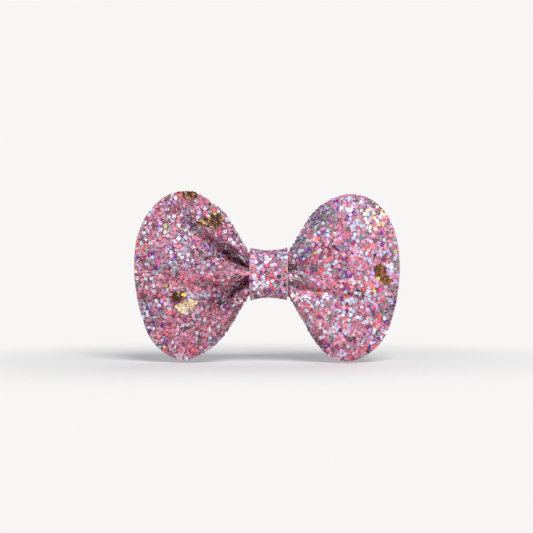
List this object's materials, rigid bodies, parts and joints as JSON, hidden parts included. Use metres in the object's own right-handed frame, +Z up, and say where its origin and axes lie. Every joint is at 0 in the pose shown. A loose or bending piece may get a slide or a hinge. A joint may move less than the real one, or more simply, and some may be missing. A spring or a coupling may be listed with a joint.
{
  "type": "hair bow",
  "caption": "Pinched hair bow of chunky-glitter canvas with a wrapped centre band, glued to a ribbon-lined sprung alligator clip.",
  "frame": {"origin": "in the clip's grip plane, on the clip's centre line, behind the middle of the bow's band", "axes": "+X along the bow and the clip towards the jaws' tip, +Y out of the back towards the wearer's head, +Z up as the bow is worn; the glitter face looks along -Y"},
  "size_m": [0.086, 0.0255, 0.0552],
  "materials": {
    "glitter_canvas": "chunky and fine glitter in pinks, lilac, silver, coral and dark flakes on woven-backed canvas",
    "thread": "matt twisted polyester thread",
    "hot_glue": "cloudy set hot glue",
    "ribbon": "ribbed grosgrain, low sheen",
    "clip_steel": "nickel-plated stamped sheet, fine rolling marks",
    "spring_steel": "drawn spring wire"
  },
  "bodies": {
    "bow": {"bow_panel": "glitter_canvas", "center_band": "glitter_canvas", "gathering_thread": "thread", "band_glue_bead": "hot_glue", "clip_glue_bed": "hot_glue", "ribbon_lining": "ribbon", "clip_base_jaw": "clip_steel", "hinge_pin": "clip_steel", "torsion_spring": "spring_steel"},
    "jaw": {"clip_spring_jaw": "clip_steel"}
  },
  "joints": [
    {"name": "jaw_hinge", "type": "hinge", "parent": "bow", "child": "jaw", "pos_m": [-0.01, 0.0022, 0], "axis": [0, 0, 1], "range_deg": [0, 25], "stiffness_Nm_per_rad": 0.05, "springref_deg": -34.38, "deforming": ["torsion_spring"]}
  ]
}
